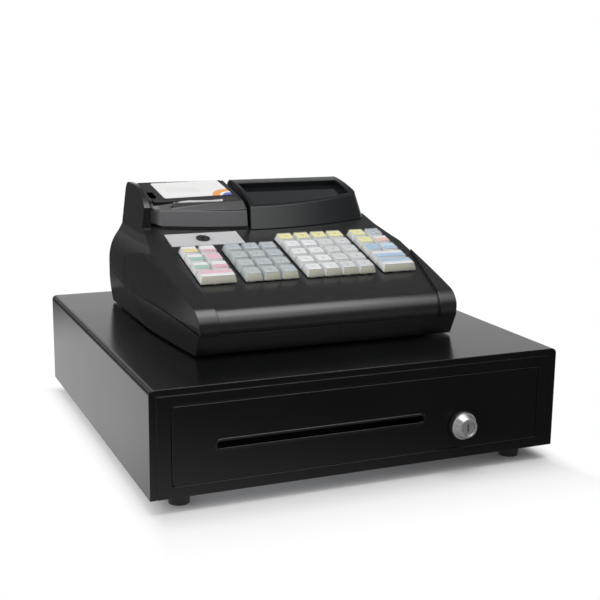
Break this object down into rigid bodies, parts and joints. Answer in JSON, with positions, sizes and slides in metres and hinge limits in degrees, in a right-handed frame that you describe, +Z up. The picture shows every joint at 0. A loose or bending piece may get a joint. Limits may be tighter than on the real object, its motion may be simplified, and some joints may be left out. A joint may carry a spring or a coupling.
{
  "type": "electronic cash register on a cash drawer",
  "caption": "Sloping cash register with keyboard, receipt printer and display, standing on a steel cabinet with a sliding, lockable cash drawer.",
  "frame": {"origin": "on the floor under the middle of the whole object, lock included", "axes": "+Z up, the drawer opens towards -Y, +X is the right-hand side seen from the front"},
  "size_m": [0.41, 0.4276, 0.2495],
  "materials": {
    "cabinet_paint": "satin powder coat",
    "galvanised_steel": "zinc plated",
    "solenoid_steel": "passivated",
    "screw_steel": "plated",
    "foot_rubber": "matt",
    "roller_nylon": "turned",
    "lock_collar_metal": "bright",
    "lock_plug_metal": "bright",
    "tray_plastic": "textured",
    "case_plastic": "fine spark-eroded texture",
    "frame_plastic": "plain",
    "board_laminate": "solder mask",
    "mode_plate_metal": "anodised",
    "mode_plug_plastic": "satin",
    "tear_bar_steel": "cut edge",
    "platen_rubber": "ground",
    "receipt_paper": "smooth",
    "label_card": "gloss coated",
    "panel_plastic": "satin",
    "window_plastic": "tinted, gloss",
    "number_key_plastic": "clear cap over a printed insert",
    "left_key_plastic": "clear cap over a printed insert",
    "department_key_plastic": "clear cap over a printed insert",
    "right_key_plastic": "clear cap over a printed insert"
  },
  "bodies": {
    "root": {"cabinet_cover": "cabinet_paint", "cabinet_base": "cabinet_paint", "front_frame": "cabinet_paint", "rubber_feet": "foot_rubber", "cabinet_rails": "galvanised_steel", "solenoid": "solenoid_steel", "eject_spring": "galvanised_steel", "base_case": "case_plastic", "top_case": "case_plastic", "keyboard_frame": "frame_plastic", "key_board": "board_laminate", "mode_plate": "mode_plate_metal", "tear_bar": "tear_bar_steel", "printer_frame": "galvanised_steel", "paper_stub": "receipt_paper", "printer_fascia": "panel_plastic", "display_hood": "case_plastic", "display_window": "window_plastic", "case_screws": "screw_steel", "register_feet": "foot_rubber"},
    "drawer": {"drawer_pan": "galvanised_steel", "drawer_front": "cabinet_paint", "cash_tray": "tray_plastic", "lock_barrel": "lock_collar_metal"},
    "drawer_lock": {"lock_plug": "lock_plug_metal", "lock_cam": "lock_plug_metal"},
    "cabinet_roller_pair": {"cabinet_rollers": "roller_nylon"},
    "drawer_roller_pair": {"drawer_rollers": "roller_nylon"},
    "hook": {"latch_hook": "galvanised_steel"},
    "plunger": {"solenoid_plunger": "galvanised_steel"},
    "mode_lock": {"mode_plug": "mode_plug_plastic"},
    "cover": {"printer_cover": "case_plastic", "cover_label": "label_card"},
    "roll": {"paper_roll": "receipt_paper"},
    "platen": {"platen_roller": "platen_rubber"},
    "clip_1": {"note_clip_1": "tray_plastic"},
    "clip_2": {"note_clip_2": "tray_plastic"},
    "clip_3": {"note_clip_3": "tray_plastic"},
    "clip_4": {"note_clip_4": "tray_plastic"},
    "number_key_1_body": {"number_key_1": "number_key_plastic"},
    "number_key_2_body": {"number_key_2": "number_key_plastic"},
    "number_key_3_body": {"number_key_3": "number_key_plastic"},
    "number_key_4_body": {"number_key_4": "number_key_plastic"},
    "number_key_5_body": {"number_key_5": "number_key_plastic"},
    "number_key_6_body": {"number_key_6": "number_key_plastic"},
    "number_key_7_body": {"number_key_7": "number_key_plastic"},
    "number_key_8_body": {"number_key_8": "number_key_plastic"},
    "number_key_9_body": {"number_key_9": "number_key_plastic"},
    "number_key_10_body": {"number_key_10": "number_key_plastic"},
    "number_key_11_body": {"number_key_11": "number_key_plastic"},
    "number_key_12_body": {"number_key_12": "number_key_plastic"},
    "wide_key_left_body": {"wide_key_left": "left_key_plastic"},
    "wide_key_upper_body": {"wide_key_upper": "right_key_plastic"},
    "wide_key_lower_body": {"wide_key_lower": "right_key_plastic"},
    "function_keys_left_body": {"function_keys_left": "left_key_plastic"},
    "department_keys_1_body": {"department_keys_1": "department_key_plastic"},
    "department_keys_2_body": {"department_keys_2": "department_key_plastic"},
    "department_keys_3_body": {"department_keys_3": "department_key_plastic"},
    "department_keys_4_body": {"department_keys_4": "department_key_plastic"},
    "function_keys_right_body": {"function_keys_right": "right_key_plastic"}
  },
  "joints": [
    {"name": "drawer_slide", "type": "slide", "parent": "root", "child": "drawer", "axis": [0, -1, 0], "range_m": [0, 0.305]},
    {"name": "cabinet_roller_spin", "type": "hinge", "parent": "root", "child": "cabinet_roller_pair", "pos_m": [0, -0.16725, 0.058], "axis": [1, 0, 0], "range_deg": [-20, 2520]},
    {"name": "drawer_roller_spin", "type": "hinge", "parent": "drawer", "child": "drawer_roller_pair", "pos_m": [0, 0.16125, 0.058], "axis": [1, 0, 0], "range_deg": [-20, 2520]},
    {"name": "drawer_lock_turn", "type": "hinge", "parent": "drawer", "child": "drawer_lock", "pos_m": [0.1015, -0.20125, 0.0465], "axis": [0, -1, 0], "range_deg": [0, 90]},
    {"name": "printer_cover_lift", "type": "hinge", "parent": "root", "child": "cover", "pos_m": [-0.06875, 0.14875, 0.24484], "axis": [-1, 0, 0], "range_deg": [0, 75]},
    {"name": "mode_lock_turn", "type": "hinge", "parent": "root", "child": "mode_lock", "pos_m": [-0.0768, 0.04064, 0.19809], "axis": [0, -0.2588, 0.9659], "range_deg": [-60, 90]},
    {"name": "note_clip_1_lift", "type": "hinge", "parent": "drawer", "child": "clip_1", "pos_m": [-0.13087, 0.16075, 0.0805], "axis": [-1, 0, 0], "range_deg": [0, 25], "stiffness_Nm_per_rad": 0.03, "springref_deg": -20.05},
    {"name": "note_clip_2_lift", "type": "hinge", "parent": "drawer", "child": "clip_2", "pos_m": [-0.04362, 0.16075, 0.0805], "axis": [-1, 0, 0], "range_deg": [0, 25], "stiffness_Nm_per_rad": 0.03, "springref_deg": -20.05},
    {"name": "note_clip_3_lift", "type": "hinge", "parent": "drawer", "child": "clip_3", "pos_m": [0.04362, 0.16075, 0.0805], "axis": [-1, 0, 0], "range_deg": [0, 25], "stiffness_Nm_per_rad": 0.03, "springref_deg": -20.05},
    {"name": "note_clip_4_lift", "type": "hinge", "parent": "drawer", "child": "clip_4", "pos_m": [0.13087, 0.16075, 0.0805], "axis": [-1, 0, 0], "range_deg": [0, 25], "stiffness_Nm_per_rad": 0.03, "springref_deg": -20.05},
    {"name": "paper_roll_spin", "type": "hinge", "parent": "root", "child": "roll", "pos_m": [-0.06875, 0.12025, 0.2085], "axis": [1, 0, 0], "continuous": true},
    {"name": "platen_spin", "type": "hinge", "parent": "root", "child": "platen", "pos_m": [-0.06875, 0.08525, 0.2185], "axis": [1, 0, 0], "continuous": true},
    {"name": "latch_hook_swing", "type": "hinge", "parent": "root", "child": "hook", "pos_m": [0, 0.20225, 0.05], "axis": [1, 0, 0], "range_deg": [0, 20]},
    {"name": "plunger_slide", "type": "slide", "parent": "root", "child": "plunger", "axis": [0, 0, -1], "range_m": [0, 0.0025]},
    {"name": "number_key_1_press", "type": "slide", "parent": "root", "child": "number_key_1_body", "axis": [0, 0.2588, -0.9659], "range_m": [0, 0.003], "stiffness_N_per_m": 150, "springref_m": -0.002},
    {"name": "number_key_2_press", "type": "slide", "parent": "root", "child": "number_key_2_body", "axis": [0, 0.2588, -0.9659], "range_m": [0, 0.003], "stiffness_N_per_m": 150, "springref_m": -0.002},
    {"name": "number_key_3_press", "type": "slide", "parent": "root", "child": "number_key_3_body", "axis": [0, 0.2588, -0.9659], "range_m": [0, 0.003], "stiffness_N_per_m": 150, "springref_m": -0.002},
    {"name": "number_key_4_press", "type": "slide", "parent": "root", "child": "number_key_4_body", "axis": [0, 0.2588, -0.9659], "range_m": [0, 0.003], "stiffness_N_per_m": 150, "springref_m": -0.002},
    {"name": "number_key_5_press", "type": "slide", "parent": "root", "child": "number_key_5_body", "axis": [0, 0.2588, -0.9659], "range_m": [0, 0.003], "stiffness_N_per_m": 150, "springref_m": -0.002},
    {"name": "number_key_6_press", "type": "slide", "parent": "root", "child": "number_key_6_body", "axis": [0, 0.2588, -0.9659], "range_m": [0, 0.003], "stiffness_N_per_m": 150, "springref_m": -0.002},
    {"name": "number_key_7_press", "type": "slide", "parent": "root", "child": "number_key_7_body", "axis": [0, 0.2588, -0.9659], "range_m": [0, 0.003], "stiffness_N_per_m": 150, "springref_m": -0.002},
    {"name": "number_key_8_press", "type": "slide", "parent": "root", "child": "number_key_8_body", "axis": [0, 0.2588, -0.9659], "range_m": [0, 0.003], "stiffness_N_per_m": 150, "springref_m": -0.002},
    {"name": "number_key_9_press", "type": "slide", "parent": "root", "child": "number_key_9_body", "axis": [0, 0.2588, -0.9659], "range_m": [0, 0.003], "stiffness_N_per_m": 150, "springref_m": -0.002},
    {"name": "number_key_10_press", "type": "slide", "parent": "root", "child": "number_key_10_body", "axis": [0, 0.2588, -0.9659], "range_m": [0, 0.003], "stiffness_N_per_m": 150, "springref_m": -0.002},
    {"name": "number_key_11_press", "type": "slide", "parent": "root", "child": "number_key_11_body", "axis": [0, 0.2588, -0.9659], "range_m": [0, 0.003], "stiffness_N_per_m": 150, "springref_m": -0.002},
    {"name": "number_key_12_press", "type": "slide", "parent": "root", "child": "number_key_12_body", "axis": [0, 0.2588, -0.9659], "range_m": [0, 0.003], "stiffness_N_per_m": 150, "springref_m": -0.002},
    {"name": "wide_key_left_press", "type": "slide", "parent": "root", "child": "wide_key_left_body", "axis": [0, 0.2588, -0.9659], "range_m": [0, 0.003], "stiffness_N_per_m": 150, "springref_m": -0.002},
    {"name": "wide_key_upper_press", "type": "slide", "parent": "root", "child": "wide_key_upper_body", "axis": [0, 0.2588, -0.9659], "range_m": [0, 0.003], "stiffness_N_per_m": 150, "springref_m": -0.002},
    {"name": "wide_key_lower_press", "type": "slide", "parent": "root", "child": "wide_key_lower_body", "axis": [0, 0.2588, -0.9659], "range_m": [0, 0.003], "stiffness_N_per_m": 150, "springref_m": -0.002},
    {"name": "function_keys_left_press", "type": "slide", "parent": "root", "child": "function_keys_left_body", "axis": [0, 0.2588, -0.9659], "range_m": [0, 0.003], "stiffness_N_per_m": 150, "springref_m": -0.002},
    {"name": "department_keys_1_press", "type": "slide", "parent": "root", "child": "department_keys_1_body", "axis": [0, 0.2588, -0.9659], "range_m": [0, 0.003], "stiffness_N_per_m": 150, "springref_m": -0.002},
    {"name": "department_keys_2_press", "type": "slide", "parent": "root", "child": "department_keys_2_body", "axis": [0, 0.2588, -0.9659], "range_m": [0, 0.003], "stiffness_N_per_m": 150, "springref_m": -0.002},
    {"name": "department_keys_3_press", "type": "slide", "parent": "root", "child": "department_keys_3_body", "axis": [0, 0.2588, -0.9659], "range_m": [0, 0.003], "stiffness_N_per_m": 150, "springref_m": -0.002},
    {"name": "department_keys_4_press", "type": "slide", "parent": "root", "child": "department_keys_4_body", "axis": [0, 0.2588, -0.9659], "range_m": [0, 0.003], "stiffness_N_per_m": 150, "springref_m": -0.002},
    {"name": "function_keys_right_press", "type": "slide", "parent": "root", "child": "function_keys_right_body", "axis": [0, 0.2588, -0.9659], "range_m": [0, 0.003], "stiffness_N_per_m": 150, "springref_m": -0.002}
  ],
  "couplings": [
    {"joint": "cabinet_roller_spin", "follows": "drawer_slide", "rad_per_m": 142.86},
    {"joint": "drawer_roller_spin", "follows": "drawer_slide", "rad_per_m": 142.86},
    {"joint": "plunger_slide", "follows": "latch_hook_swing", "m_per_rad": 0.00688},
    {"joint": "platen_spin", "follows": "paper_roll_spin", "ratio": 4}
  ]
}
